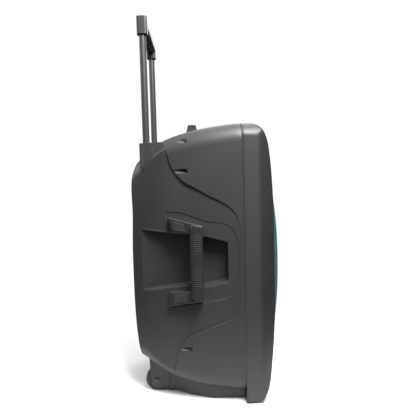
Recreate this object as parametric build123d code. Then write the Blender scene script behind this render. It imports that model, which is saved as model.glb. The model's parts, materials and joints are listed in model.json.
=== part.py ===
from build123d import *
import os

# Wheeled party loudspeaker with a pull-out trolley handle.
# Millimetres. +Z up, front faces -Y, origin on the floor under the middle of the bounding box.

# Housing
SEAM_Y = -88.0          # rear cabinet meets the front frame here
FRAME_TOP = 712.5
FRAME_BOTTOM = 3.0
HALF_WIDTH = 215.0
EDGE_R = 45.0
FOOT_R = 14.0            # lower corners of the front frame
SHELL = 8.0
OPEN_X, OPEN_Z0, OPEN_Z1, OPEN_R = 172.0, 60.0, 648.0, 50.0
CROWN_Z = 350.0
BAFFLE_Y0, BAFFLE_Y1 = -128.0, -116.0

# Trolley
TUBE_X, TUBE_Y, TUBE_R = 122.0, 154.0, 9.0
TUBE_Z0, TUBE_Z1 = 400.0, 966.0
GRIP_Z0, GRIP_Z1 = 948.0, 993.0
SLEEVE_R = 11.2
SLEEVE_BORE = 10.2
COLLAR_TOP = 670.5

# Wheels
WHEEL_R, WHEEL_Y, WHEEL_X, WHEEL_W = 30.0, 148.0, 103.0, 24.0
AXLE_R = 4.0

# Drivers
WOOFER_Z, WOOFER_FLANGE_R, WOOFER_CUT_R = 290.0, 158.0, 142.0
HORN_Z = 548.0
FLANGE_Y = BAFFLE_Y0 - 6
PORT_X, PORT_Z, PORT_R = 124.0, 108.0, 30.0

# Rear control panel
PANEL_X, PANEL_Z0, PANEL_Z1 = 86.0, 203.0, 557.0
PANEL_Y0, PANEL_Y1 = 172.0, 175.0

# Sections of the rear cabinet: y, half width, bottom, top, corner radius
SECTIONS = [
    (SEAM_Y, 214.0, 26.5, 712.5, 45.0),
    (-51.0, 210.5, 28.5, 711.0, 45.0),
    (-14.0, 206.0, 31.5, 706.5, 45.0),
    (23.0, 200.0, 36.5, 700.0, 44.5),
    (60.0, 192.5, 45.0, 691.5, 44.0),
    (97.0, 182.5, 56.0, 680.0, 43.0),
    (134.0, 166.5, 71.5, 661.0, 42.0),
    (171.0, 141.0, 91.0, 631.5, 40.0),
    (208.0, 102.0, 115.0, 582.0, 36.0),
]

# Hand recess behind each side handle, outlined in Y and Z
RECESS = [
    (-48, 418), (9, 432), (49, 437), (179, 447), (179, 287), (129, 297), (49, 308), (12, 304), (-48, 320),
]
# Floor of the recess and the inner face of its wall, outlined in X and Y
RECESS_FLOOR = [(0, -60), (176, -60), (176, -48), (138, 179), (0, 179)]
RECESS_BACK = [(0, -60), (170, -60), (170, -48), (131, 186), (0, 186)]
# Sunk panel on each side, bounded by a C-shaped crease
SUNK_TOP = [
    (116, 675), (100, 648), (90, 612), (76, 588), (59, 570), (29, 553), (-1, 535), (-31, 520), (-51, 507),
]
SUNK_FRONT = [(-51, 507), (-70, 485), (-80, 440), (-82, 365), (-80, 290), (-62, 230)]
SUNK_LOW = [
    (-62, 230), (-36, 213), (-6, 202), (29, 185), (49, 175), (67, 163), (78, 146), (86, 120), (91, 95), (94, 70),
]
# Sunk surface in plan: y and half width
SUNK_PLAN = [
    (-84, 213.4), (-56, 209.0), (-26, 204.6), (9, 199.2), (49, 190.0), (95, 180.0), (130, 166.5), (168, 143.2),
]
# Shallow step around each side handle, outlined in Y and Z
STEP_DEPTH = 1.0
STEP = [
    (104, 494), (66, 492), (28, 478), (5, 470), (-38, 465), (-56, 456), (-70, 436), (-75, 412), (-75.5, 371),
    (-75, 330), (-70, 302), (-56, 284), (-38, 274), (10, 264), (104, 248),
]

os.makedirs("parts", exist_ok=True)
nodes = {}


def keep(name, shape):
    """Write one node, as one part or as a group of identical parts."""
    nodes[name] = shape
    export_step(shape, f"parts/{name}.step")


def block(x0, x1, y0, y1, z0, z1):
    size = (abs(x1 - x0), abs(y1 - y0), abs(z1 - z0))
    return Pos((x0 + x1) / 2, (y0 + y1) / 2, (z0 + z1) / 2) * Box(*size)


def rod_x(x0, x1, y, z, r):
    return Pos((x0 + x1) / 2, y, z) * Rot(0, 90, 0) * Cylinder(r, abs(x1 - x0))


def rod_y(x, y0, y1, z, r):
    return Pos(x, (y0 + y1) / 2, z) * Rot(90, 0, 0) * Cylinder(r, abs(y1 - y0))


def rod_z(x, y, z0, z1, r):
    return Pos(x, y, (z0 + z1) / 2) * Cylinder(r, z1 - z0)


def mirror_x(shape):
    return mirror(shape, about=Plane.YZ)


def prism_x(points, x0, x1):
    """Outline in Y and Z, drawn out along X."""
    face = make_face(Polyline([(0, y, z) for y, z in points], close=True).edges())
    return extrude(Pos(x0, 0, 0) * face, amount=x1 - x0, dir=(1, 0, 0))


def prism_z(points, z0, z1):
    """Outline in X and Y, drawn out along Z."""
    face = make_face(Polyline([(x, y, 0) for x, y in points], close=True).edges())
    return extrude(Pos(0, 0, z0) * face, amount=z1 - z0, dir=(0, 0, 1))


def round_prism_y(half, z0, z1, r, y0, y1):
    """Rounded rectangle in X and Z, drawn out along Y."""
    plane = Plane(origin=(0, y0, (z0 + z1) / 2), x_dir=(1, 0, 0), z_dir=(0, -1, 0))
    return extrude(plane * RectangleRounded(2 * half, z1 - z0, r), amount=y1 - y0, dir=(0, 1, 0))


def turned_y(points, x, z):
    """Closed outline of radius and y, turned about an axis along Y."""
    face = make_face(Polyline([(r, y, 0) for r, y in points], close=True).edges())
    return Pos(x, 0, z) * revolve(face, Axis.Y)


# ---------------------------------------------------------------- housing shapes
def rear_body(inset):
    """Outer surface of the rear cabinet, or its cavity when inset."""
    rings = []
    for y, half, bottom, top, r in SECTIONS:
        plane = Plane(origin=(0, y, (bottom + top) / 2), x_dir=(1, 0, 0), z_dir=(0, -1, 0))
        rings.append(plane * RectangleRounded(2 * (half - inset), top - bottom - 2 * inset, r - inset / 2))
    back = Spline(
        [(0, 168, 660), (0, 180, 625), (0, 190.5, 600), (0, 197, 500), (0, 200.3, 410),
         (0, 201, 330), (0, 199, 215), (0, 193.5, 150), (0, 184, 95)]
    )
    front = Polyline([(0, 184, 95), (0, 160, 0), (0, -120, 0), (0, -120, 760), (0, 168, 760), (0, 168, 660)])
    side = extrude(make_face(back.edges() + front.edges()), amount=300, both=True)
    return loft(rings) & (Pos(0, -inset, 0) * side)


def frame_body(inset):
    """Outer surface of the front frame, or its cavity when inset."""
    nose = Spline(
        [(0, -104, 3), (0, -133, 12), (0, -146, 34), (0, -155, 80), (0, -165, 170), (0, -169, 300),
         (0, -169, 440), (0, -164, 570), (0, -157, 640), (0, -147, 680), (0, -129, 704), (0, -100, 712.5)]
    )
    tail = Polyline([(0, -100, 712.5), (0, SEAM_Y, 712.5), (0, SEAM_Y, 3), (0, -104, 3)])
    side = extrude(make_face(nose.edges() + tail.edges()), amount=300, both=True)
    half = HALF_WIDTH - inset
    bevel = ThreePointArc((180 - inset, -169.5, 0), (201 - inset, -150, 0), (half, -126, 0))
    mirrored = ThreePointArc((-half, -126, 0), (inset - 201, -150, 0), (inset - 180, -169.5, 0))
    back = Polyline([(half, -126, 0), (half - 1, SEAM_Y, 0), (1 - half, SEAM_Y, 0), (-half, -126, 0)])
    front = Line((inset - 180, -169.5, 0), (180 - inset, -169.5, 0))
    plan = extrude(make_face(bevel.edges() + back.edges() + mirrored.edges() + front.edges()), amount=760)
    front_view = block(-half - 2, half + 2, -210, SEAM_Y, FRAME_BOTTOM + inset, FRAME_TOP - inset)
    front_view = fillet(front_view.edges().filter_by(Axis.Y).sort_by(Axis.Z)[:2], FOOT_R - inset / 2)
    front_view = fillet(front_view.edges().filter_by(Axis.Y).sort_by(Axis.Z)[-2:], EDGE_R - inset / 2)
    return (Pos(0, inset, 0) * side) & plan & front_view


def grille_sheet(thickness, shift):
    """Bulged grille surface, thickened along Y."""
    grid = []
    for i in range(13):
        z = 30 + i * (680 - 30) / 12
        u = abs(z - CROWN_Z) / 295
        fall = u**2.4
        mid = -201 + (47 if z > CROWN_Z else 54) * fall
        edge = -174 + (28 if z > CROWN_Z else 33) * fall
        grid.append([Vector(x, mid + (edge - mid) * (x / 171) ** 2 + shift, z) for x in range(-190, 191, 38)])
    face = Face.make_surface_from_array_of_points(grid, tol=0.02, min_deg=3, max_deg=5)
    return extrude(face, amount=thickness, dir=(0, 1, 0))


outer_rear = rear_body(0)
cavity_rear = rear_body(SHELL + 1)
outer_frame = frame_body(0)
cavity_frame = frame_body(SHELL) & block(-230, 230, -150, SEAM_Y, 0, 760)

# ---------------------------------------------------------------- front frame, baffle and grille
seat_ring = round_prism_y(OPEN_X + 5, OPEN_Z0 - 5, OPEN_Z1 + 5, OPEN_R + 5, -152, BAFFLE_Y0)
grille_seat = round_prism_y(OPEN_X, OPEN_Z0, OPEN_Z1, OPEN_R, -230, -100) & grille_sheet(-80, 1.8)
inner_hole = round_prism_y(OPEN_X - 10, OPEN_Z0 + 10, OPEN_Z1 - 10, OPEN_R - 10, -230, SEAM_Y + 1)
front_frame = outer_frame - (cavity_frame - seat_ring) - inner_hole - grille_seat
grille_screws = []
for x in (-166, 166):
    for z, y in [(110, -154.8), (352, -175.6), (594, -157.1)]:
        grille_screws.append(rod_y(x, y - 1.5, y + 10, z, 3.5))
for screw in grille_screws:
    front_frame -= screw
keep("front_frame", front_frame)
keep("grille_screws", Compound(grille_screws))

baffle = round_prism_y(204.5, 17, 695, 36, BAFFLE_Y0, BAFFLE_Y1)
baffle -= rod_y(0, BAFFLE_Y0 - 1, BAFFLE_Y1 + 1, WOOFER_Z, WOOFER_CUT_R)
baffle -= block(-104, 104, BAFFLE_Y0 - 1, BAFFLE_Y1 + 1, HORN_Z - 50, HORN_Z + 50)
for side in (-1, 1):
    baffle -= rod_y(side * PORT_X, BAFFLE_Y0 - 1, BAFFLE_Y1 + 1, PORT_Z, PORT_R)
keep("baffle", baffle)

grille = grille_sheet(1.8, 0) & round_prism_y(OPEN_X - 1, OPEN_Z0 + 1, OPEN_Z1 - 1, OPEN_R - 1, -230, SEAM_Y)
for screw in grille_screws:
    grille -= screw
keep("grille", grille)

# ---------------------------------------------------------------- rear cabinet
recess_cut = prism_x(RECESS, 120, 240) - prism_z(RECESS_FLOOR, 200, 500)
sunk_low_edge = Spline([(0, y, z) for y, z in SUNK_LOW])
sunk_top_edge = Spline([(0, y, z) for y, z in SUNK_TOP])
sunk_front = Spline([(0, y, z) for y, z in SUNK_FRONT])
sunk_rear = Polyline([(0, 94, 70), (0, 212, 70), (0, 212, 690), (0, 116, 690), (0, 116, 675)])
sunk_outline = sunk_top_edge.edges() + sunk_front.edges() + sunk_low_edge.edges() + sunk_rear.edges()
sunk_prism = extrude(make_face(sunk_outline), amount=240, dir=(1, 0, 0))
sunk_curve = Spline([(half, y, 0) for y, half in SUNK_PLAN])
sunk_close = Polyline([(143.2, 168, 0), (143.2, 230, 0), (260, 230, 0), (260, -84, 0), (213.4, -84, 0)])
sunk_outside = extrude(make_face(sunk_curve.edges() + sunk_close.edges()), amount=760)
sunk_cut = sunk_prism & sunk_outside
step_cut = prism_x(STEP, 120, 255) & (Pos(-STEP_DEPTH, 0, 0) * sunk_outside)

pockets = Compound(
    [
        rod_y(188, 48, 130, 671, 5.5),
        rod_y(192, 46, 130, 596, 5.5),
        rod_y(192, 48, 130, 143, 5.5),
        rod_y(170, 52, 130, 49.5, 5.5),
    ]
)
side_cuts = [recess_cut, sunk_cut, step_cut, *pockets.solids()]
recess_wall = prism_x([(y + (6 if y > 0 else -6), z + (6 if z > 370 else -6)) for y, z in RECESS], 120, 240)
recess_wall -= prism_z(RECESS_BACK, 200, 500)

roof_pocket = block(-62, 62, -8, 76, 662, 740)
roof_pocket = fillet(roof_pocket.edges().filter_by(Axis.Z), 10)
roof_wall = block(-67, 67, -13, 81, 657, 740)

panel_pocket = round_prism_y(88, 201, 559, 12, PANEL_Y0, 230)
panel_wall = round_prism_y(93, 196, 564, 14, PANEL_Y0 - 5, 230)
panel_hole = round_prism_y(76, 213, 547, 8, 150, 190)

tunnels = [rod_z(s * TUBE_X, TUBE_Y, 112, 700, SLEEVE_R + 0.1) for s in (-1, 1)]

cavity = cavity_rear - recess_wall - mirror_x(recess_wall) - roof_wall - panel_wall
rear_cabinet = outer_rear - cavity - roof_pocket - panel_pocket - panel_hole
for cut in side_cuts:
    rear_cabinet = rear_cabinet - cut - mirror_x(cut)
for tunnel in tunnels:
    rear_cabinet -= tunnel
rear_cabinet -= rod_z(0, 0, 30, 84.2, 21.0)
keep("rear_cabinet", rear_cabinet)

# ---------------------------------------------------------------- base
half_plan = [(180, SEAM_Y), (175, 0), (150, 57), (124, 96), (124, 111.7)]
plinth_plan = half_plan + [(-x, y) for x, y in reversed(half_plan)]
plinth_inner = [(x - 5 if x > 0 else x + 5, min(max(y, SEAM_Y + 5), 106)) for x, y in plinth_plan]
plinth = prism_z(plinth_plan, 4, 95) - prism_z(plinth_inner, 9, 95) - outer_rear
plinth += rod_z(0, 0, 9, 12, 36)
plinth -= rod_z(0, 0, 3, 13, 21)
keep("base_plinth", plinth)

foot_places = [(-150, -60), (150, -60), (-104, 78), (104, 78)]
feet = [fillet(rod_z(x, y, 0, 4, 11).edges().sort_by(Axis.Z)[:1], 1.5) for x, y in foot_places]
keep("rubber_feet", Compound(feet))

socket = rod_z(0, 0, 4, 84, 21) - rod_z(0, 0, 3, 80, 17.9)
keep("pole_socket", socket)

# ---------------------------------------------------------------- handles
handle_profile = [(17, 690), (23.5, 716), (25.5, 718), (42.5, 718), (44.5, 716), (51, 690)]
top_handle = prism_x(handle_profile, -110, 110) - outer_rear - block(-60, 60, -10, 80, 640, 700.5)
top_handle = fillet(top_handle.edges().filter_by(Axis.X).sort_by(Axis.Z)[-2:], 1.2)
keep("top_handle", top_handle)

arm_outline = [
    (99, 480), (14, 460), (14, 275), (104, 254), (100, 290), (46, 296), (46, 443), (89, 443),
]
bracket_outer = prism_z([(150, 12), (227, 12), (227, 25), (193, 104.5), (150, 104.5)], 240, 490)
finger_space = prism_z([(100, 0), (207, 0), (207, 49), (196.5, 60), (100, 60)], 303, 436)
side_handle = prism_x(arm_outline, 160, 230) & bracket_outer
side_handle = side_handle - (outer_rear - sunk_cut - step_cut) - finger_space
ribs = [block(226.2, 228, 15, 24, z, z + 2.4) for z in range(300, 436, 5)]
side_handle -= Compound(ribs)
keep("side_handle_right", side_handle)
keep("side_handle_left", mirror_x(side_handle))

# ---------------------------------------------------------------- screws, shared heads
def screw_y(x, y_face, z, direction, head_r=4.0, length=14.0):
    """Pan-head screw along Y, its head standing out of a face towards direction."""
    head = rod_y(x, min(y_face, y_face + 2.4 * direction), max(y_face, y_face + 2.4 * direction), z, head_r)
    end = y_face - length * direction
    shank = rod_y(x, min(y_face, end), max(y_face, end), z, head_r / 2)
    slot = block(x - 0.6, x + 0.6, y_face + 1.2 * direction, y_face + 3.0 * direction, z - 2.6, z + 2.6)
    slot += block(x - 2.6, x + 2.6, y_face + 1.2 * direction, y_face + 3.0 * direction, z - 0.6, z + 0.6)
    return head + shank - slot


pocket_heads = []
for x, y, z in [(188.6, 48, 671), (192.4, 46, 596), (192.4, 48, 143), (170.4, 52, 49.5)]:
    for side in (-1, 1):
        pocket_heads.append(rod_y(side * x, y, y + 3.0, z, 4.2) - rod_y(side * x, y + 1.5, y + 4, z, 1.8))
keep("cabinet_screws", Compound(pocket_heads))

# ---------------------------------------------------------------- trolley, fixed parts
collar = prism_z(
    [(-171, 112), (171, 112), (161, 140), (150, 159), (142, 170.3), (-142, 170.3), (-150, 159), (-161, 140)],
    600, COLLAR_TOP,
)
collar -= outer_rear
for side in (-1, 1):
    collar -= rod_z(side * TUBE_X, TUBE_Y, 590, 680, TUBE_R + 0.3)
    collar -= rod_z(side * TUBE_X, TUBE_Y, 590, 662, SLEEVE_R + 0.1)
keep("trolley_collar", collar)

sleeves = []
for side in (-1, 1):
    tube = rod_z(side * TUBE_X, TUBE_Y, 112, 661.8, SLEEVE_R)
    tube -= rod_z(side * TUBE_X, TUBE_Y, 111, 663, SLEEVE_BORE)
    tube -= rod_x(side * (TUBE_X + 5), side * (TUBE_X + 15), TUBE_Y, TUBE_Z0 + 12, 3.5)
    sleeves.append(tube)
keep("trolley_sleeves", Compound(sleeves))

sleeve_bracket = block(-110.6, 110.6, 148, 160, 130, 142) - block(-106, 106, 151, 157, 129, 143)
keep("sleeve_bracket", sleeve_bracket)

# ---------------------------------------------------------------- trolley, sliding parts
for name, side in (("left", -1), ("right", 1)):
    x = side * TUBE_X
    tube = rod_z(x, TUBE_Y, TUBE_Z0, TUBE_Z1, TUBE_R)
    tube -= rod_z(x, TUBE_Y, TUBE_Z0 - 1, TUBE_Z1 + 1, TUBE_R - 1.5)
    tube -= rod_x(x, x + side * 15, TUBE_Y, TUBE_Z0 + 12, 3.3)
    keep(f"trolley_tube_{name}", tube)

plugs = []
for side in (-1, 1):
    x = side * TUBE_X
    plug = rod_z(x, TUBE_Y, TUBE_Z0 - 8, TUBE_Z0, 9.9)
    plugs.append(plug + rod_z(x, TUBE_Y, TUBE_Z0, TUBE_Z0 + 6, TUBE_R - 1.55))
keep("tube_plugs", Compound(plugs))

grip_bar = block(-111, 111, 140.5, 167.5, 964, GRIP_Z1)
grip_bar = fillet(grip_bar.edges().filter_by(Axis.X), 9)
grip = grip_bar
for side in (-1, 1):
    cap = block(side * TUBE_X - 13.5, side * TUBE_X + 13.5, 140.5, 167.5, GRIP_Z0, GRIP_Z1)
    cap = fillet(cap.edges().filter_by(Axis.Z), 6)
    cap = fillet(cap.edges().sort_by(Axis.Z)[-8:], 2.5)
    grip += cap
for side in (-1, 1):
    grip -= rod_z(side * TUBE_X, TUBE_Y, GRIP_Z0 - 1, TUBE_Z1, TUBE_R)
    grip -= rod_z(side * TUBE_X, TUBE_Y, GRIP_Z0 - 1, 984, TUBE_R - 1.5)
grip -= block(-126, 126, 148, 160, 969, 984)
button_hole = block(-32.4, 32.4, 147.6, 160.4, 980, 1000)
button_hole = fillet(button_hole.edges().filter_by(Axis.Z), 5)
grip -= button_hole
keep("trolley_grip", grip)

button = block(-32, 32, 148, 160, 983, 992.4)
button = fillet(button.edges().filter_by(Axis.Z), 4.6)
button = fillet(button.edges().group_by(Axis.Z)[-1], 1.2)
keep("release_button", button)

push_bar = block(-124, 124, 151, 157, 976, 983)
for side in (-1, 1):
    push_bar += rod_z(side * TUBE_X, TUBE_Y, TUBE_Z0 + 21, 978, 3)
keep("push_rods", push_bar)

for name, side in (("left", -1), ("right", 1)):
    x = side * TUBE_X
    keep(f"lock_pin_{name}", rod_x(x - side * 3, x + side * 9.6, TUBE_Y, TUBE_Z0 + 12, 2.9))

# ---------------------------------------------------------------- wheels
for name, side in (("left", -1), ("right", 1)):
    x = side * WHEEL_X
    tyre = rod_x(x - WHEEL_W / 2, x + WHEEL_W / 2, WHEEL_Y, WHEEL_R, WHEEL_R)
    tyre = fillet(tyre.edges(), 3.5)
    tyre -= rod_x(x - WHEEL_W, x + WHEEL_W, WHEEL_Y, WHEEL_R, 18)
    keep(f"wheel_tyre_{name}", tyre)
    hub = rod_x(x - WHEEL_W / 2 + 1, x + WHEEL_W / 2 - 1, WHEEL_Y, WHEEL_R, 18)
    ring = rod_x(x + 6, x + 20, WHEEL_Y, WHEEL_R, 15) - rod_x(x + 6, x + 20, WHEEL_Y, WHEEL_R, 8)
    ring += rod_x(x - 20, x - 6, WHEEL_Y, WHEEL_R, 15) - rod_x(x - 20, x - 6, WHEEL_Y, WHEEL_R, 8)
    hub -= ring
    hub -= rod_x(x - WHEEL_W, x + WHEEL_W, WHEEL_Y, WHEEL_R, AXLE_R + 0.3)
    keep(f"wheel_hub_{name}", hub)
    outline = [(112, 104), (112, 6), (147, 8.5), (157, 13.5), (162.5, 22), (164.5, 34), (166, 104)]
    bracket = prism_x(outline, 84, 122) - block(89, 117, 116, 180, 0, 74)
    bracket -= outer_rear
    bracket -= rod_x(80, 125, WHEEL_Y, WHEEL_R, AXLE_R)
    keep(f"wheel_bracket_{name}", bracket if side > 0 else mirror_x(bracket))

axles = []
for side in (-1, 1):
    axle = rod_x(side * 80, side * 122, WHEEL_Y, WHEEL_R, AXLE_R)
    axle += rod_x(side * 122, side * 125, WHEEL_Y, WHEEL_R, 7)
    axle += rod_x(side * 80, side * 84, WHEEL_Y, WHEEL_R, 6.5)
    axles.append(axle)
keep("wheel_axles", Compound(axles))

# ---------------------------------------------------------------- woofer
screws = []
for i in range(8):
    p = Vector(0, 0, 151).rotate(Axis.Y, 45 * i + 22.5)
    screws.append(screw_y(p.X, FLANGE_Y, WOOFER_Z + p.Z, -1, length=5.5))
for x, dz in [(-109, -53), (109, -53), (-109, 53), (109, 53)]:
    screws.append(screw_y(x, BAFFLE_Y0 - 4, HORN_Z + dz, -1, length=3.5))
keep("driver_screws", Compound(screws))

basket = turned_y(
    [(WOOFER_FLANGE_R, FLANGE_Y), (WOOFER_FLANGE_R, BAFFLE_Y0), (141, BAFFLE_Y0), (135, -100), (72, -38),
     (72, -34), (68, -34), (68, -40), (131, -102), (136.5, FLANGE_Y)],
    0, WOOFER_Z,
)
window = prism_z([(-26, -98), (26, -98), (16, -46), (-16, -46)], 60, 160)
for i in range(6):
    basket -= Pos(0, 0, WOOFER_Z) * Rot(0, 60 * i + 30, 0) * window
for screw in screws[:8]:
    basket -= screw
keep("woofer_basket", basket)

magnet_side = [(72, -34), (72, 14), (0, 14), (0, -22), (34, -22), (34, 4), (41.5, 4), (41.5, -34)]
magnet = turned_y(magnet_side, 0, WOOFER_Z)
keep("woofer_magnet", magnet)
cone_side = [(119.5, -131.5), (118, -131.5), (38, -84), (38, -80), (40.5, -80), (119.5, -128)]
keep("woofer_cone", turned_y(cone_side, 0, WOOFER_Z))
dome = [
    (0, -102), (14, -101), (27, -97), (36, -91), (41, -87.5), (41, -86), (36, -89), (27, -94.4), (14, -98.6),
    (0, -99.6),
]
keep("woofer_dust_cap", turned_y(dome, 0, WOOFER_Z))
roll = [
    (135.6, FLANGE_Y), (133, -139), (128, -141), (123, -139), (120, -133), (121, -132.5), (124, -137.4),
    (128, -139.2), (132, -137.4), (135.6, -131),
]
keep("woofer_surround", turned_y(roll, 0, WOOFER_Z))
keep("voice_coil", turned_y([(37.4, -84), (38, -84), (38, -14), (37.4, -14)], 0, WOOFER_Z))
keep("woofer_spider", turned_y([(38.4, -58), (77, -58), (77, -56.6), (38.4, -56.6)], 0, WOOFER_Z))

# ---------------------------------------------------------------- horn and ports
mouth = Plane(origin=(0, BAFFLE_Y0 - 4, HORN_Z), x_dir=(1, 0, 0), z_dir=(0, -1, 0))
middle = Plane(origin=(0, -100, HORN_Z), x_dir=(1, 0, 0), z_dir=(0, -1, 0))
throat = Plane(origin=(0, -52, HORN_Z), x_dir=(1, 0, 0), z_dir=(0, -1, 0))
flare_out = loft([mouth * RectangleRounded(206, 98, 16), middle * RectangleRounded(120, 64, 16),
                  throat * RectangleRounded(34, 34, 16)])
flare_in = loft([mouth * RectangleRounded(200, 92, 14), middle * RectangleRounded(114, 58, 14),
                 throat * RectangleRounded(28, 28, 13)])
horn = flare_out + round_prism_y(116, HORN_Z - 60, HORN_Z + 60, 8, BAFFLE_Y0 - 4, BAFFLE_Y0) - flare_in
for screw in screws[8:]:
    horn -= screw
keep("horn_flare", horn)
keep("compression_driver", rod_y(0, -52, -46, HORN_Z, 30) + rod_y(0, -46, -8, HORN_Z, 48))

ports = []
for side in (-1, 1):
    x = side * PORT_X
    tube = rod_y(x, BAFFLE_Y0, -20, PORT_Z, PORT_R) + rod_y(x, BAFFLE_Y0 - 4, BAFFLE_Y0, PORT_Z, PORT_R + 6)
    ports.append(tube - rod_y(x, -140, -10, PORT_Z, PORT_R - 3))
keep("port_tubes", Compound(ports))


# ---------------------------------------------------------------- rear control panel
KNOBS = {"knob_mic": (-58, 505, 8.5), "knob_bass": (-30, 505, 8.5), "knob_treble": (-2, 505, 8.5),
         "knob_master": (45, 488, 17)}
BUTTONS = {"button_prev": -52, "button_play": -30, "button_next": -8}
JACK_X = (-52, -20)

panel = round_prism_y(PANEL_X, PANEL_Z0, PANEL_Z1, 10, PANEL_Y0, PANEL_Y1)
for x, z, r in KNOBS.values():
    panel -= rod_y(x, 170, 180, z, 3.5)
for x in BUTTONS.values():
    panel -= block(x - 7.3, x + 7.3, 170, 180, 394.7, 405.3)
panel -= block(-62, 2, 170, 180, 423, 453)
panel -= block(18, 33, 170, 180, 396, 404)
for x in JACK_X:
    panel -= rod_y(x, 170, 180, 350, 9)
panel -= block(-60, -39, 170, 180, 231, 260)
panel -= block(16, 44, 170, 180, 233, 257)
panel -= block(-70, 70, PANEL_Y1 - 0.6, 180, 318, 319.5)
panel -= block(-70, 70, PANEL_Y1 - 0.6, 180, 470, 471)
panel_screws = []
for x in (-80, 80):
    for z in (209, 380, 551):
        panel_screws.append(screw_y(x, PANEL_Y1, z, 1, head_r=3.2, length=3.0))
for screw in panel_screws:
    panel -= screw
keep("rear_panel", panel)
keep("panel_screws", Compound(panel_screws))

for name, (x, z, r) in KNOBS.items():
    knob = rod_y(x, PANEL_Y1 + 0.8, PANEL_Y1 + 14, z, r)
    knob = chamfer(knob.edges().sort_by(Axis.Y)[-1:], 1.2)
    for i in range(12):
        p = Vector(0, 0, r).rotate(Axis.Y, 30 * i)
        knob -= rod_y(x + p.X, PANEL_Y1 + 3, PANEL_Y1 + 20, z + p.Z, r * 0.09)
    knob -= block(x - 0.7, x + 0.7, PANEL_Y1 + 13.2, PANEL_Y1 + 15, z + r * 0.35, z + r + 1)
    knob += rod_y(x, 162, PANEL_Y1 + 1, z, 3)
    keep(name, knob)

for name, x in BUTTONS.items():
    button = block(x - 7, x + 7, 170, PANEL_Y1 + 2, 395, 405)
    button = fillet(button.edges().group_by(Axis.Y)[-1], 0.8)
    keep(name, button)

keep("display_window", block(-61.8, 1.8, 170.5, PANEL_Y1 + 0.2, 423.2, 452.8))
slot = block(17, 34, 160, PANEL_Y1 + 0.6, 395, 405) - block(18.5, 32.5, 163, 180, 396.8, 403.2)
slot = slot - (block(10, 18, 172, 180, 390, 410) + block(33, 40, 172, 180, 390, 410))
slot = slot - (block(10, 40, 172, 180, 404, 410) + block(10, 40, 172, 180, 390, 396))
slot += block(19, 32, 163, 173.5, 399.3, 400.7)
keep("usb_port", slot)

jacks = []
for x in JACK_X:
    jack = rod_y(x, 150, PANEL_Y1 + 1.5, 350, 8.9) + rod_y(x, PANEL_Y1, PANEL_Y1 + 1.5, 350, 11.5)
    jacks.append(jack - rod_y(x, 152, 180, 350, 3.25))
keep("mic_jacks", Compound(jacks))

inlet = block(16.2, 43.8, 150, PANEL_Y1 + 1, 233.2, 256.8) + block(11, 49, PANEL_Y1, PANEL_Y1 + 2, 229, 261)
inlet -= block(18.5, 41.5, 156, 180, 236, 254)
for x, z in [(24, 242), (36, 242), (30, 249)]:
    inlet += block(x - 1, x + 1, 156, 172, z - 2, z + 2)
keep("power_inlet", inlet)

rocker_side = [(165, 238), (165, 253), (176, 258.2), (178.6, 257), (175.4, 245.5), (178.6, 234), (176, 232.8)]
rocker = prism_x(rocker_side, -58.5, -40.5) + rod_x(-59.7, -39.3, 171, 245.5, 1.5)
keep("power_rocker", rocker)

# ---------------------------------------------------------------- inside
board = block(-78, 78, 146, 148, 215, 545)
for x, y0, z, r in [(-50, 126, 260, 12), (-20, 126, 260, 12), (40, 120, 290, 15)]:
    board += rod_y(x, y0, 146, z, r)
board += block(-60, -10, 118, 146, 300, 345)
for x, z, r in KNOBS.values():
    board += block(x - 7, x + 7, 148, 160, z - 7, z + 7)
keep("amp_board", board)

heatsink = block(0, 70, 108, 112, 380, 470)
for i in range(11):
    heatsink += block(6.4 * i, 6.4 * i + 2, 80, 108, 380, 470)
heatsink += block(60, 68, 112, 146, 385, 465)
keep("heatsink", heatsink)

tray = block(-80, 80, 22, 94, 82, 85) + block(-80, 80, 22, 26, 48, 82) + block(-80, 80, 90, 94, 67, 82)
for side in (-1, 1):
    tray += block(side * 77, side * 80, 22, 94, 85, 120)
keep("battery_tray", tray)
battery = fillet(block(-76, 76, 26, 91, 85, 179).edges(), 2)
for side in (-1, 1):
    battery += rod_z(side * 60, 40, 178, 184, 4)
keep("battery", battery)
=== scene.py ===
import json
import math

import bmesh
import bpy
from mathutils import Matrix, Vector
from mathutils.bvhtree import BVHTree


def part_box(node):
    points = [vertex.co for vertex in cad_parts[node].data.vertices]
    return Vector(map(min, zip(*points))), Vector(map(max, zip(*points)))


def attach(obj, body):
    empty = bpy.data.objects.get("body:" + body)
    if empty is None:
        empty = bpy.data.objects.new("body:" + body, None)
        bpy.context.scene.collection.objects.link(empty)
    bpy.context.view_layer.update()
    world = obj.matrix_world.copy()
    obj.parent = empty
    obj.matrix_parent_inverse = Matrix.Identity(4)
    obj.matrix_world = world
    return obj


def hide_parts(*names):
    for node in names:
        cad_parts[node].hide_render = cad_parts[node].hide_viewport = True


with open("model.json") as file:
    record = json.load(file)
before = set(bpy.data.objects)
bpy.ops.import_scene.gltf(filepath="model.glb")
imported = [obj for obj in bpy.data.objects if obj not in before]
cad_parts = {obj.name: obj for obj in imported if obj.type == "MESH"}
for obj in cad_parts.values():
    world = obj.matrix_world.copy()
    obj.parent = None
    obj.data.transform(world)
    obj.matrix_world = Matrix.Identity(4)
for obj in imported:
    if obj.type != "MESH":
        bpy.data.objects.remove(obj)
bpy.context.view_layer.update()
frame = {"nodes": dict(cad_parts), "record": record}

# Millimetres to metres; the sign of X on each side, as seen from the front
MM = 0.001
SIDES = {"left": -1, "right": 1}

# ------------------------------------------------------------------ camera, floor and light
CAMERA_AT = (-1.314, 0.029, 0.586)
YAW, PITCH, ROLL = math.radians(1.8), math.radians(4.5), math.radians(1.43)
LENS_MM, SENSOR_MM = 38.57, 36.0

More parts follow.
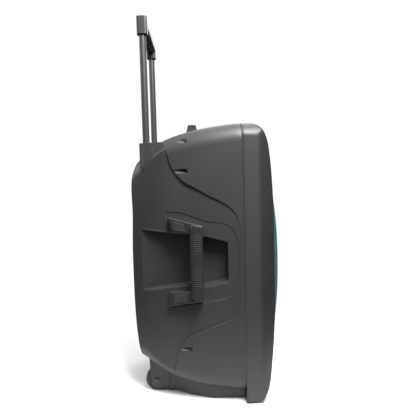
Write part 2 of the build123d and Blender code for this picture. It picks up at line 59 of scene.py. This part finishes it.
# Brightness of the surroundings, as the object sees them, by the height a direction points to
HORIZON, CEILING, BELOW = 0.11, 0.85, 0.03
CEILING_FROM, CEILING_TO = 0.1, 0.75
BELOW_FROM = -0.25
BACKDROP = 1.05

# FLOOR_BOUNCE is what the floor reflects on to the object, FLOOR_SEEN what the camera sees
FLOOR_R, FLOOR_BOUNCE, FLOOR_SEEN = 0.5, 0.8, 0.9

# Name, place, point aimed at, size in metres, power in watts
LIGHTS = [
    ("top_soft", (-0.1, -0.1, 2.3), (0, 0, 0.3), 1.4, 7),
    ("key_left", (-0.9, -0.34, 1.66), (-0.15, -0.1, 0.64), 0.6, 57),
    ("key_right", (1.0, -0.25, 1.55), (0.15, -0.1, 0.6), 0.9, 9),
    ("rear_soft", (0.25, 1.3, 1.2), (0, 0, 0.4), 0.9, 8),
]


def set_range(node, from_min, from_max, to_min, to_max):
    """Fills a Map Range node."""
    values = {"From Min": from_min, "From Max": from_max, "To Min": to_min, "To Max": to_max}
    for socket, value in values.items():
        node.inputs[socket].default_value = value


def make_camera():
    level = math.cos(PITCH)
    forward = Vector((level * math.cos(YAW), -level * math.sin(YAW), -math.sin(PITCH)))
    right = forward.cross(Vector((0, 0, 1))).normalized()
    up = right.cross(forward)
    turned_right = right * math.cos(ROLL) - up * math.sin(ROLL)
    turned_up = right * math.sin(ROLL) + up * math.cos(ROLL)
    data = bpy.data.cameras.new("camera")
    data.lens = LENS_MM
    data.sensor_width = SENSOR_MM
    data.clip_end = 100.0
    camera = bpy.data.objects.new("camera", data)
    axes = Matrix((turned_right, turned_up, -forward)).transposed()
    camera.matrix_world = Matrix.Translation(CAMERA_AT) @ axes.to_4x4()
    bpy.context.scene.collection.objects.link(camera)
    bpy.context.scene.camera = camera


def area_light(name, place, target, size, power):
    data = bpy.data.lights.new(name, "AREA")
    data.shape = "RECTANGLE"
    data.size = size
    data.size_y = size
    data.energy = power
    light = bpy.data.objects.new(name, data)
    light.location = place
    light.rotation_euler = (Vector(target) - Vector(place)).to_track_quat("-Z", "Y").to_euler()
    bpy.context.scene.collection.objects.link(light)


def make_stage():
    mesh = bpy.data.meshes.new("floor")
    turns = [math.radians(a) for a in range(0, 360, 3)]
    rim = [(FLOOR_R * math.cos(a), FLOOR_R * math.sin(a), 0) for a in turns]
    mesh.from_pydata(rim, [], [tuple(range(len(rim)))])
    floor = bpy.data.objects.new("floor", mesh)
    bpy.context.scene.collection.objects.link(floor)
    mat = bpy.data.materials.new("floor_pale")
    mat.use_nodes = True
    shader = mat.node_tree.nodes["Principled BSDF"]
    path = mat.node_tree.nodes.new("ShaderNodeLightPath")
    albedo = mat.node_tree.nodes.new("ShaderNodeMix")
    albedo.data_type = "RGBA"
    albedo.inputs["A"].default_value = (FLOOR_BOUNCE, FLOOR_BOUNCE, FLOOR_BOUNCE, 1)
    albedo.inputs["B"].default_value = (FLOOR_SEEN, FLOOR_SEEN, FLOOR_SEEN, 1)
    mat.node_tree.links.new(path.outputs["Is Camera Ray"], albedo.inputs["Factor"])
    mat.node_tree.links.new(albedo.outputs["Result"], shader.inputs["Base Color"])
    shader.inputs["Roughness"].default_value = 0.9
    shader.inputs["Specular IOR Level"].default_value = 0.1
    mesh.materials.append(mat)
    make_world()
    bpy.context.scene.view_settings.view_transform = "Standard"
    for light in LIGHTS:
        area_light(*light)


def make_world():
    """White for the camera; for the object, a bright ceiling over dim walls."""
    world = bpy.data.worlds.new("studio")
    world.use_nodes = True
    tree = world.node_tree
    background = tree.nodes["Background"]
    coords = tree.nodes.new("ShaderNodeTexCoord")
    split = tree.nodes.new("ShaderNodeSeparateXYZ")
    tree.links.new(coords.outputs["Generated"], split.inputs["Vector"])
    ceiling = tree.nodes.new("ShaderNodeMapRange")
    ceiling.interpolation_type = "SMOOTHSTEP"
    set_range(ceiling, CEILING_FROM, CEILING_TO, HORIZON, CEILING)
    tree.links.new(split.outputs["Z"], ceiling.inputs["Value"])
    under = tree.nodes.new("ShaderNodeMapRange")
    set_range(under, BELOW_FROM, 0.0, BELOW - HORIZON, 0.0)
    tree.links.new(split.outputs["Z"], under.inputs["Value"])
    total = tree.nodes.new("ShaderNodeMath")
    total.operation = "ADD"
    tree.links.new(ceiling.outputs["Result"], total.inputs[0])
    tree.links.new(under.outputs["Result"], total.inputs[1])
    path = tree.nodes.new("ShaderNodeLightPath")
    strength = tree.nodes.new("ShaderNodeMix")
    tree.links.new(path.outputs["Is Camera Ray"], strength.inputs["Factor"])
    tree.links.new(total.outputs["Value"], strength.inputs["A"])
    strength.inputs["B"].default_value = BACKDROP
    tree.links.new(strength.outputs["Result"], background.inputs["Strength"])
    background.inputs["Color"].default_value = (1, 1, 1, 1)
    bpy.context.scene.world = world


make_camera()
make_stage()


# ------------------------------------------------------------------ materials
# Cosine between the rounded and the true normal where an edge begins to show, and where it shows fully
EDGE_STARTS, EDGE_FULL = 0.995, 0.85

# Slow noise behind colour drift and rubbed patches; gain and lift of the paler edges, partly wear and
# partly painted highlight
MOTTLE_SCALE, MOTTLE_LOW, MOTTLE_HIGH = 9.0, 0.35, 0.7
PALE_GAIN, PALE_LIFT = 2.2, 0.01


def edge_mask(tree, radius):
    """Rounded normal near sharp edges, and how strongly a point lies on such an edge."""
    rounded = tree.nodes.new("ShaderNodeBevel")
    rounded.samples = 6
    rounded.inputs["Radius"].default_value = radius
    surface = tree.nodes.new("ShaderNodeNewGeometry")
    along = tree.nodes.new("ShaderNodeVectorMath")
    along.operation = "DOT_PRODUCT"
    tree.links.new(rounded.outputs["Normal"], along.inputs[0])
    tree.links.new(surface.outputs["Normal"], along.inputs[1])
    mask = tree.nodes.new("ShaderNodeMapRange")
    set_range(mask, EDGE_STARTS, EDGE_FULL, 0.0, 1.0)
    tree.links.new(along.outputs["Value"], mask.inputs["Value"])
    return rounded.outputs["Normal"], mask.outputs["Result"]


def mixed_colour(tree, factor, first, second):
    """Colour mix; first and second are sockets or plain colours."""
    mix = tree.nodes.new("ShaderNodeMix")
    mix.data_type = "RGBA"
    tree.links.new(factor, mix.inputs["Factor"])
    for socket, value in (("A", first), ("B", second)):
        if isinstance(value, bpy.types.NodeSocket):
            tree.links.new(value, mix.inputs[socket])
        else:
            mix.inputs[socket].default_value = (*value, 1)
    return mix.outputs["Result"]


def plastic(name, colour, rough, grain=1400.0, bump=0.00005, mottle=0.10, scuff=0.05,
            edge=0.0012, wear_and_highlight=0.35):
    """Grained moulded plastic: fine bump, slow colour drift, rubbed patches, rounded edges, and paler
    edges that are partly wear and partly painted highlight.
    """
    mat = bpy.data.materials.new(name)
    mat.use_nodes = True
    tree = mat.node_tree
    shader = tree.nodes["Principled BSDF"]
    coords = tree.nodes.new("ShaderNodeTexCoord")
    fine = tree.nodes.new("ShaderNodeTexNoise")
    fine.inputs["Scale"].default_value = grain
    fine.inputs["Detail"].default_value = 3.0
    slow = tree.nodes.new("ShaderNodeTexNoise")
    slow.inputs["Scale"].default_value = MOTTLE_SCALE
    slow.inputs["Detail"].default_value = 5.0
    tree.links.new(coords.outputs["Object"], fine.inputs["Vector"])
    tree.links.new(coords.outputs["Object"], slow.inputs["Vector"])
    dark = [c * (1 - mottle) for c in colour]
    light = [c * (1 + mottle) for c in colour]
    base = mixed_colour(tree, slow.outputs["Fac"], dark, light)
    normal, on_edge = edge_mask(tree, edge)
    # Paler edges: partly wear, partly painted highlight standing in for the light that the edges catch
    edge_wear_and_highlight = tree.nodes.new("ShaderNodeMath")
    edge_wear_and_highlight.operation = "MULTIPLY"
    edge_wear_and_highlight.inputs[1].default_value = wear_and_highlight
    tree.links.new(on_edge, edge_wear_and_highlight.inputs[0])
    pale = [min(c * PALE_GAIN + PALE_LIFT, 1.0) for c in colour]
    tree.links.new(mixed_colour(tree, edge_wear_and_highlight.outputs["Value"], base, pale), shader.inputs["Base Color"])
    spread = tree.nodes.new("ShaderNodeMapRange")
    set_range(spread, MOTTLE_LOW, MOTTLE_HIGH, rough + scuff, rough - scuff)
    tree.links.new(slow.outputs["Fac"], spread.inputs["Value"])
    tree.links.new(spread.outputs["Result"], shader.inputs["Roughness"])
    bumper = tree.nodes.new("ShaderNodeBump")
    bumper.inputs["Strength"].default_value = 1.0
    bumper.inputs["Distance"].default_value = bump
    tree.links.new(fine.outputs["Fac"], bumper.inputs["Height"])
    tree.links.new(normal, bumper.inputs["Normal"])
    tree.links.new(bumper.outputs["Normal"], shader.inputs["Normal"])
    return mat


def painted_light_band(mat, axis, start, end, strength):
    """Painted light: scales the base colour along an axis, 1 at start, strength at end, to paint a lit
    band. X counts from the middle.
    """
    tree = mat.node_tree
    shader = tree.nodes["Principled BSDF"]
    coords = tree.nodes.new("ShaderNodeTexCoord")
    split = tree.nodes.new("ShaderNodeSeparateXYZ")
    tree.links.new(coords.outputs["Object"], split.inputs["Vector"])
    ramp = tree.nodes.new("ShaderNodeMapRange")
    ramp.interpolation_type = "SMOOTHSTEP"
    set_range(ramp, start, end, 1.0, strength)
    along = split.outputs[axis]
    if axis == "X":
        size = tree.nodes.new("ShaderNodeMath")
        size.operation = "ABSOLUTE"
        tree.links.new(along, size.inputs[0])
        along = size.outputs["Value"]
    tree.links.new(along, ramp.inputs["Value"])
    scale = tree.nodes.new("ShaderNodeVectorMath")
    scale.operation = "SCALE"
    source = shader.inputs["Base Color"].links[0].from_socket
    tree.links.new(source, scale.inputs["Vector"])
    tree.links.new(ramp.outputs["Result"], scale.inputs["Scale"])
    tree.links.new(scale.outputs["Vector"], shader.inputs["Base Color"])


def metal(name, colour, rough, metallic=1.0, grain=900.0, stretch=(1, 1, 1), bump=0.00002):
    """Coated or bare metal with fine streaks along one direction."""
    mat = plastic(name, colour, rough, grain, bump, mottle=0.06, scuff=0.04)
    tree = mat.node_tree
    tree.nodes["Principled BSDF"].inputs["Metallic"].default_value = metallic
    mapping = tree.nodes.new("ShaderNodeMapping")
    mapping.inputs["Scale"].default_value = stretch
    coords = next(n for n in tree.nodes if n.bl_idname == "ShaderNodeTexCoord")
    fine = next(n for n in tree.nodes if n.bl_idname == "ShaderNodeTexNoise")
    tree.links.new(coords.outputs["Object"], mapping.inputs["Vector"])
    tree.links.new(mapping.outputs["Vector"], fine.inputs["Vector"])
    return mat


# The last argument sets how much paler the edges are: partly wear, partly painted highlight
body_plastic = plastic("housing_grain", (0.029, 0.029, 0.030), 0.5, edge=0.003, wear_and_highlight=0.2)
frame_plastic = plastic("frame_grain", (0.020, 0.020, 0.021), 0.46, edge=0.012, wear_and_highlight=0.06)
# Painted light: the frame behind y = -0.122 m is 1.7 times paler, standing in for the lit band on its
# side face
painted_light_band(frame_plastic, "Y", -0.136, -0.122, 1.7)
handle_plastic = plastic("handle_grain", (0.024, 0.024, 0.025), 0.40, grain=900, edge=0.0016, wear_and_highlight=1.0)
collar_plastic = plastic("collar_grain", (0.045, 0.045, 0.046), 0.48)
bar_plastic = plastic("trolley_bar_grain", (0.024, 0.024, 0.025), 0.38, grain=900)
# Painted highlight: the trolley grip within 107.5 mm of the middle is 2.5 times paler, standing in for
# the light falling on it
painted_light_band(bar_plastic, "X", 0.1085, 0.1075, 2.5)
pad_plastic = plastic("pad_grain", (0.038, 0.038, 0.039), 0.44, grain=1100, edge=0.001, wear_and_highlight=0.8)
grip_rubber = plastic("grip_rubber", (0.015, 0.015, 0.0165), 0.5, grain=2200, bump=0.00004,
                      edge=0.001, wear_and_highlight=0.8)
tube_black = metal("tube_anodised", (0.05, 0.05, 0.052), 0.4, metallic=0.35, stretch=(1, 1, 0.03))
teal_coat = plastic("grille_coat", (0.024, 0.09, 0.112), 0.6, grain=2500)
tyre_rubber = plastic("tyre_rubber", (0.035, 0.035, 0.034), 0.75, grain=600, bump=0.0001)
foot_rubber = plastic("foot_rubber", (0.02, 0.02, 0.02), 0.8)
hub_plastic = plastic("hub_grain", (0.06, 0.06, 0.06), 0.5)
screw_black = metal("screw_black", (0.03, 0.03, 0.03), 0.35)
zinc = metal("zinc_plate", (0.6, 0.6, 0.6), 0.3)
dull_zinc = metal("dull_zinc", (0.07, 0.07, 0.072), 0.45)
bare_alu = metal("bare_aluminium", (0.7, 0.7, 0.71), 0.35)
ferrite = metal("driver_plating", (0.12, 0.12, 0.13), 0.45)
basket_paint = metal("basket_paint", (0.03, 0.03, 0.03), 0.4, metallic=0.3)
pulp = plastic("cone_pulp", (0.02, 0.02, 0.02), 0.85, grain=350, bump=0.0003)
spider_cloth = plastic("spider_cloth", (0.5, 0.32, 0.1), 0.9, grain=500)
circuit_green = plastic("board_green", (0.01, 0.09, 0.035), 0.4)
cell_case = plastic("battery_case", (0.09, 0.09, 0.1), 0.5)
panel_black = metal("panel_paint", (0.02, 0.02, 0.021), 0.45, metallic=0.2)
knob_plastic = plastic("knob_grain", (0.02, 0.02, 0.02), 0.4)
key_plastic = plastic("key_grain", (0.22, 0.22, 0.23), 0.4)
window_dark = plastic("window_dark", (0.005, 0.008, 0.012), 0.12, bump=0.0, scuff=0.01)
socket_black = plastic("socket_black", (0.018, 0.018, 0.018), 0.5)

SLOT_LOOKS = {
    "housing_plastic": body_plastic, "frame_plastic": frame_plastic, "handle_plastic": handle_plastic,
    "collar_plastic": collar_plastic, "grille_metal": teal_coat, "black_metal": screw_black,
    "black_tube": tube_black, "steel": zinc, "dark_screw": screw_black, "rubber": foot_rubber,
    "tyre": tyre_rubber, "hub_plastic": hub_plastic, "basket_metal": basket_paint,
    "magnet_metal": ferrite, "cone_paper": pulp, "former": bare_alu, "spider_cloth": spider_cloth,
    "board": circuit_green, "fins": bare_alu, "cell": cell_case, "panel_metal": panel_black,
    "knob_plastic": knob_plastic, "button_plastic": key_plastic, "window": window_dark,
    "socket_plastic": socket_black,
}
NODE_LOOKS = {"wheel_axles": dull_zinc, "trolley_grip": bar_plastic}
for entry in frame["record"]["subparts"]:
    cad = frame["nodes"][entry["node"]]
    look = NODE_LOOKS.get(entry["node"], SLOT_LOOKS[entry["material_slot"]])
    for place in cad.material_slots:
        place.material = look


# ------------------------------------------------------------------ shared mesh helpers
def add_object(name, mesh, look, body="housing", smooth=True):
    obj = bpy.data.objects.new(name, mesh)
    bpy.context.scene.collection.objects.link(obj)
    mesh.materials.append(look)
    if smooth:
        mesh.shade_smooth()
    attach(obj, body)
    return obj


def plain_mesh(name, verts, faces):
    mesh = bpy.data.meshes.new(name)
    mesh.from_pydata(verts, [], faces)
    mesh.update()
    return mesh


def agreeing_mesh(name, verts, faces, side=0):
    """Mesh with agreeing face normals; with a side, they point away from the middle plane."""
    mesh = plain_mesh(name, verts, faces)
    bm = bmesh.new()
    bm.from_mesh(mesh)
    bmesh.ops.recalc_face_normals(bm, faces=bm.faces)
    if sum(f.normal.x * side for f in bm.faces) < 0:
        bmesh.ops.reverse_faces(bm, faces=bm.faces)
    bm.to_mesh(mesh)
    bm.free()
    return mesh


# ------------------------------------------------------------------ side handles
# Outer face of the arms: flat up to a y, then falling towards the cabinet, in millimetres
ARM_OUT, ARM_FLAT_Y, ARM_SLOPE = 225.2, 25.0, -0.42

# Plan of the cabinet wall as (y, x) points, and how far the arms reach into it
WALL_PLAN = [(-84, 213.4), (-56, 209.0), (-26, 204.6), (9, 199.2), (49, 190.0), (95, 180.0),
             (130, 166.5), (168, 143.2)]
WALL_OVERLAP = 2.5

BEVEL_STEPS, BEVEL_FROM = 3, math.radians(28)


def plan_between(points, y):
    for (y0, x0), (y1, x1) in zip(points, points[1:]):
        if y <= y1:
            return x0 + (x1 - x0) * (y - y0) / (y1 - y0)
    return points[-1][1]


def arm_outer(y):
    return ARM_OUT + ARM_SLOPE * max(0.0, y - ARM_FLAT_Y)


def wall_inner(y):
    return plan_between(WALL_PLAN, y) - WALL_OVERLAP


def bevelled(obj, width):
    """Rounds the sharp edges of a piece."""
    mod = obj.modifiers.new("round_edges", "BEVEL")
    mod.width = width * MM
    mod.segments = BEVEL_STEPS
    mod.limit_method = "ANGLE"
    mod.angle_limit = BEVEL_FROM
    mod.harden_normals = True
    return obj


def rounded_ring(x0, x1, y0, y1, r):
    """Corner-rounded rectangle in X and Y."""
    ring = []
    corners = ((x1 - r, y1 - r, 0), (x0 + r, y1 - r, 90), (x0 + r, y0 + r, 180), (x1 - r, y0 + r, 270))
    for cx, cy, start in corners:
        for k in range(GRIP_CORNER_STEPS + 1):
            a = math.radians(start + 90 * k / GRIP_CORNER_STEPS)
            ring.append((cx + r * math.cos(a), cy + r * math.sin(a)))
    return ring


def solid_of_rings(name, rings, side, look):
    """Closed solid through rings of (x, y, z) points in millimetres."""
    bm = bmesh.new()
    loops = [[bm.verts.new((side * x * MM, y * MM, z * MM)) for x, y, z in ring] for ring in rings]
    count = len(loops[0])
    for a, b in zip(loops, loops[1:]):
        for k in range(count):
            m = (k + 1) % count
            bm.faces.new((a[k], a[m], b[m], b[k]))
    bm.faces.new(loops[0])
    bm.faces.new(loops[-1])
    bmesh.ops.recalc_face_normals(bm, faces=bm.faces)
    mesh = bpy.data.meshes.new(name)
    bm.to_mesh(mesh)
    bm.free()
    return add_object(name, mesh, look)


def strip_piece(name, stations, outer, inner, side, look, width):
    """Solid through stations, with the outer and the inner x given as functions of y."""
    rings = [[(outer(y0), y0, z0), (outer(y1), y1, z1), (inner(y1), y1, z1), (inner(y0), y0, z0)]
             for y0, z0, y1, z1 in stations]
    return bevelled(solid_of_rings(name, rings, side, look), width)


# Stations of (low y, low z, high y, high z) from the front to the back, in millimetres
UPPER_ARM = [(14, 441.0, 14, 460.5), (25, 441.0, 25, 463.2), (50, 442.0, 56, 470.7),
             (90, 443.5, 100, 481.3)]
LOWER_ARM = [(14, 275.0, 14, 298.0), (25, 272.7, 25, 297.5), (56, 265.5, 54, 295.0),
             (105, 254.0, 100, 291.5)]
UPPER_PAD = [(58, 446.5, 60, 465.0), (86, 449.0, 89.5, 473.0)]
LOWER_PAD = [(58, 271.0, 57, 289.5), (92, 263.0, 90, 287.0)]
GRIP_FACE = [(15.6, 276.2, 15.6, 459.0), (38.5, 271.4, 38.5, 464.6)]

# Ribs of the grip: lowest height and number of each group, then their step and half height
RIB_GROUPS = ((311.5, 9), (400.5, 8))
RIB_STEP, RIB_HALF = 5.2, 1.1
RIB_Y0, RIB_Y1 = 19.5, 36.0

# Outer and inner x of the ribs and of the face they stand on; the pads against the arms; edge roundings
RIB_OUT, RIB_IN = 226.98, 225.0
FACE_OUT, FACE_IN = 226.4, 214.0
PAD_RISE, PAD_DEPTH = 1.2, 2.0
ARM_ROUND, PAD_ROUND, FACE_ROUND, RIB_ROUND = 2.0, 0.8, 1.2, 0.5

# Grip column: its section, and how much it swells at each height
GRIP_X0, GRIP_X1, GRIP_Y0, GRIP_Y1 = 207.2, 225.2, 14.4, 45.4
GRIP_CORNER, GRIP_CORNER_STEPS = 5.0, 6
GRIP_LEVELS = [(280, -0.8), (283, 0.0), (305, 0.0), (312, 0.5), (358, 0.5), (366, 0.9), (392, 0.9),
               (400, 0.5), (436, 0.5), (441, 0.0), (459, 0.0), (462, -0.8)]


def side_handle(word, side):
    node = f"side_handle_{word}"
    pieces = []
    for part, stations in (("upper", UPPER_ARM), ("lower", LOWER_ARM)):
        pieces.append(strip_piece(f"side_arm_{part}_{word}", stations, arm_outer, wall_inner,
                                  side, handle_plastic, ARM_ROUND))
    for part, stations in (("upper", UPPER_PAD), ("lower", LOWER_PAD)):
        pieces.append(strip_piece(f"side_arm_pad_{part}_{word}", stations,
                                  lambda y: arm_outer(y) + PAD_RISE, lambda y: arm_outer(y) - PAD_DEPTH,
                                  side, pad_plastic, PAD_ROUND))
    rings = []
    for z, swell in GRIP_LEVELS:
        ring = rounded_ring(GRIP_X0 - swell, GRIP_X1, GRIP_Y0 - swell, GRIP_Y1 + swell, GRIP_CORNER)
        rings.append([(x, y, z) for x, y in ring])
    pieces.append(solid_of_rings(f"side_grip_{word}", rings, side, grip_rubber))
    pieces.append(strip_piece(f"side_grip_face_{word}", GRIP_FACE, lambda y: FACE_OUT, lambda y: FACE_IN,
                              side, grip_rubber, FACE_ROUND))
    for start, count in RIB_GROUPS:
        for n in range(count):
            z = start + n * RIB_STEP
            rib = [(y, z - RIB_HALF, y, z + RIB_HALF) for y in (RIB_Y0, RIB_Y1)]
            pieces.append(strip_piece(f"side_grip_rib_{word}_{int(z)}", rib, lambda y: RIB_OUT,
                                      lambda y: RIB_IN, side, grip_rubber, RIB_ROUND))
    for piece in pieces:
        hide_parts(node)


for word, side in SIDES.items():
    side_handle(word, side)

# ------------------------------------------------------------------ raised lips beside the hand recess
cabinet_mesh = frame["nodes"]["rear_cabinet"].data
cabinet_tree = BVHTree.FromPolygons([v.co for v in cabinet_mesh.vertices],
                                    [p.vertices[:] for p in cabinet_mesh.polygons])
RAY_FROM = 0.3


def surface_x(y, z, side):
    """Distance of the cabinet's outer wall from the middle plane, in millimetres."""
    hit = cabinet_tree.ray_cast(Vector((side * RAY_FROM, y * MM, z * MM)), Vector((-side, 0, 0)))[0]
    return abs(hit.x) / MM


# Section of a lip: offset across the path and height above the wall; paths are (y, z) points
LIP = [(-2.1, -0.5), (-1.5, 0.35), (-0.9, 0.85), (0.0, 1.1), (0.9, 0.85), (1.5, 0.35), (2.1, -0.5)]
LIP_STEP, LIP_END_WIDTH, LIP_FADE = 2.0, 0.35, 2.2
LIP_PATHS = {
    "rear_top": [(176, 449.4), (160, 448.2), (130, 445.8), (104, 444.0)],
    "rear_bottom": [(176, 284), (168, 285.5), (150, 288.5), (128, 293), (104, 296.5)],
    "front_bottom": [(12, 300.5), (-10, 304.5), (-30, 309.5), (-44, 313), (-50, 317), (-52, 324)],
}


def lip(name, path, side):
    """Low rounded ridge that follows the cabinet wall and fades at both ends."""
    line = [Vector(p) for p in path]
    dense = []
    for a, b in zip(line, line[1:]):
        pieces = max(2, int((b - a).length / LIP_STEP))
        dense += [a.lerp(b, k / pieces) for k in range(pieces)]
    dense.append(line[-1])
    verts, faces = [], []
    count = len(LIP)
    for n, at in enumerate(dense):
        ahead = (dense[min(n + 1, len(dense) - 1)] - dense[max(n - 1, 0)]).normalized()
        across = Vector((-ahead.y, ahead.x))
        fade = min(1.0, math.sin(math.pi * (n + 0.2) / (len(dense) - 0.6)) * LIP_FADE)
        for offset, height in LIP:
            y, z = at + across * offset * (LIP_END_WIDTH + (1 - LIP_END_WIDTH) * fade)
            lift = height * fade if height > 0 else height
            verts.append((side * (surface_x(y, z, side) + lift) * MM, y * MM, z * MM))
    for n in range(len(dense) - 1):
        for k in range(count - 1):
            low, high = n * count + k, (n + 1) * count + k
            faces.append((low, low + 1, high + 1, high))
    return add_object(name, agreeing_mesh(name, verts, faces, side), body_plastic)


for word, side in SIDES.items():
    for part, path in LIP_PATHS.items():
        lip(f"recess_lip_{part}_{word}", path, side)


# ------------------------------------------------------------------ tyres
# Section with rounded shoulders and two grooves: half widths across, and the share of the wall height
TREAD = [(-1.0, 0.0), (-1.0, 0.72), (-0.88, 0.92), (-0.7, 0.985), (-0.44, 1.0), (-0.41, 0.955),
         (-0.31, 0.955), (-0.28, 1.0), (0.28, 1.0), (0.31, 0.955), (0.41, 0.955), (0.44, 1.0),
         (0.7, 0.985), (0.88, 0.92), (1.0, 0.72), (1.0, 0.0)]
TYRE_STEPS = 72


def tyre(word):
    """Ring with TREAD's section, in the box of the CAD tyre."""
    node = f"wheel_tyre_{word}"
    low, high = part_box(node)
    hub_low, hub_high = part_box(f"wheel_hub_{word}")
    middle = [(a + b) / 2 for a, b in zip(low, high)]
    outer, inner = (high[2] - low[2]) / 2, (hub_high[2] - hub_low[2]) / 2
    half = (high[0] - low[0]) / 2
    verts, faces = [], []
    count = len(TREAD)
    for n in range(TYRE_STEPS):
        a = 2 * math.pi * n / TYRE_STEPS
        for across, share in TREAD:
            r = inner + (outer - inner) * share
            verts.append((middle[0] + half * across,
                          middle[1] + r * math.cos(a), middle[2] + r * math.sin(a)))
    for n in range(TYRE_STEPS):
        for k in range(count):
            m = (k + 1) % count
            nn = (n + 1) % TYRE_STEPS
            faces.append((n * count + k, n * count + m, nn * count + m, nn * count + k))
    name = f"rolling_tyre_{word}"
    mesh = agreeing_mesh(name, verts, faces)
    piece = add_object(name, mesh, tyre_rubber, body=f"wheel_{word}", smooth=False)
    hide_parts(node)


for word in SIDES:
    tyre(word)


# ------------------------------------------------------------------ perforated grille
GRILLE_HALF, GRILLE_LOW, GRILLE_HIGH, GRILLE_CORNER = 0.171, 0.061, 0.647, 0.049
CROWN_Z = 0.350
HOLE_STEP, HOLE_R, HOLE_INSET = 0.0045, 0.0016, 0.006
HOLE_TOP, HOLE_DEPTH = 0.0003, 0.0016
KEYS_PER_METRE = 1e5

# Front of the sheet at its crown, and how far (middle line, outer edge) fall back above and below it
CROWN_Y, EDGE_Y = -0.201, -0.174
FALL_UP, FALL_DOWN = (0.047, 0.028), (0.054, 0.033)
FALL_OVER, FALL_POWER = 0.295, 2.4

# Folded edge of the sheet: inset from the outline, and lift off the bulged surface
BORDER = [(0.0005, 0.0060), (0.0000, 0.0020), (0.0006, 0.0006), (0.0020, 0.0001), (0.0085, 0.0001),
          (0.0092, 0.0004), (0.0094, 0.0014)]
BORDER_CORNER_STEPS, BORDER_SIDE_STEPS, BORDER_END_STEPS = 10, 44, 22

# Heights where the sheet is divided into its three pieces
SHEET_JOINTS = (0.256, 0.452)


def grille_y(x, z):
    """Front surface of the bulged sheet."""
    fall = (abs(z - CROWN_Z) / FALL_OVER) ** FALL_POWER
    middle_fall, edge_fall = FALL_UP if z > CROWN_Z else FALL_DOWN
    middle = CROWN_Y + middle_fall * fall
    edge = EDGE_Y + edge_fall * fall
    return middle + (edge - middle) * (x / GRILLE_HALF) ** 2


def inside_outline(x, z, inset):
    half = GRILLE_HALF - inset
    low, high = GRILLE_LOW + inset, GRILLE_HIGH - inset
    corner = GRILLE_CORNER - inset
    if abs(x) > half or z < low or z > high:
        return False
    dx = max(abs(x) - (half - corner), 0.0)
    dz = max(low + corner - z, z - (high - corner), 0.0)
    return dx * dx + dz * dz <= corner * corner


def perforated_sheet(name, low, high):
    """Hexagonal cells, each with a round-looking hole that has a wall behind it."""
    verts, faces, shared = [], [], {}
    row_step = HOLE_STEP * math.sqrt(3) / 2
    outer_r = HOLE_STEP / math.sqrt(3)
    rows = int((GRILLE_HIGH - GRILLE_LOW) / row_step) + 2
    columns = int(2 * GRILLE_HALF / HOLE_STEP) + 2

    def corner(x, z):
        key = (round(x * KEYS_PER_METRE), round(z * KEYS_PER_METRE))
        if key not in shared:
            shared[key] = len(verts)
            verts.append((x, grille_y(x, z) + HOLE_TOP, z))
        return shared[key]

    for j in range(rows):
        z = GRILLE_LOW + j * row_step
        if not low <= z < high:
            continue
        for i in range(columns):
            x = -GRILLE_HALF + (i + 0.5 * (j % 2)) * HOLE_STEP
            if not inside_outline(x, z, HOLE_INSET):
                continue
            angles = [math.radians(60 * k + 30) for k in range(6)]
            rim = [corner(x + outer_r * math.cos(a), z + outer_r * math.sin(a)) for a in angles]
            start = len(verts)
            for depth in (HOLE_TOP, HOLE_DEPTH):
                for a in angles:
                    hx, hz = x + HOLE_R * math.cos(a), z + HOLE_R * math.sin(a)
                    verts.append((hx, grille_y(hx, hz) + depth, hz))
            for k in range(6):
                n = (k + 1) % 6
                faces.append((rim[k], rim[n], start + n, start + k))
                faces.append((start + k, start + n, start + 6 + n, start + 6 + k))
    return add_object(name, plain_mesh(name, verts, faces), teal_coat, smooth=False)


def outline_loop(inset, lift):
    """Points round the grille's rounded rectangle, on its bulged surface."""
    half = GRILLE_HALF - inset
    low, high = GRILLE_LOW + inset, GRILLE_HIGH - inset
    corner = GRILLE_CORNER - inset
    centres = [(half - corner, high - corner, 0), (corner - half, high - corner, 90),
               (corner - half, low + corner, 180), (half - corner, low + corner, 270)]
    flat = []
    for n, (cx, cz, start) in enumerate(centres):
        for k in range(BORDER_CORNER_STEPS + 1):
            a = math.radians(start + 90 * k / BORDER_CORNER_STEPS)
            flat.append((cx + corner * math.cos(a), cz + corner * math.sin(a)))
        nx, nz, turn = centres[(n + 1) % 4]
        a = math.radians(turn)
        goal = (nx + corner * math.cos(a), nz + corner * math.sin(a))
        here = flat[-1]
        pieces = BORDER_SIDE_STEPS if n % 2 else BORDER_END_STEPS
        for k in range(1, pieces):
            flat.append(tuple(h + (g - h) * k / pieces for h, g in zip(here, goal)))
    return [(x, grille_y(x, z) + lift, z) for x, z in flat]


def grille_border():
    """Folded edge of the sheet: a plain band with a rounded outer lip."""
    verts, faces = [], []
    loops = [outline_loop(inset, lift) for inset, lift in BORDER]
    count = len(loops[0])
    for loop in loops:
        verts.extend(loop)
    for n in range(len(loops) - 1):
        for k in range(count):
            m = (k + 1) % count
            faces.append((n * count + k, n * count + m, (n + 1) * count + m, (n + 1) * count + k))
    mesh = plain_mesh("grille_border", verts, faces)
    return add_object("grille_border", mesh, teal_coat)


grille_pieces = [
    perforated_sheet("grille_lower", 0.0, SHEET_JOINTS[0]),
    perforated_sheet("grille_middle", *SHEET_JOINTS),
    perforated_sheet("grille_upper", SHEET_JOINTS[1], 1.0),
    grille_border(),
]
for piece in grille_pieces:
    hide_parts("grille")
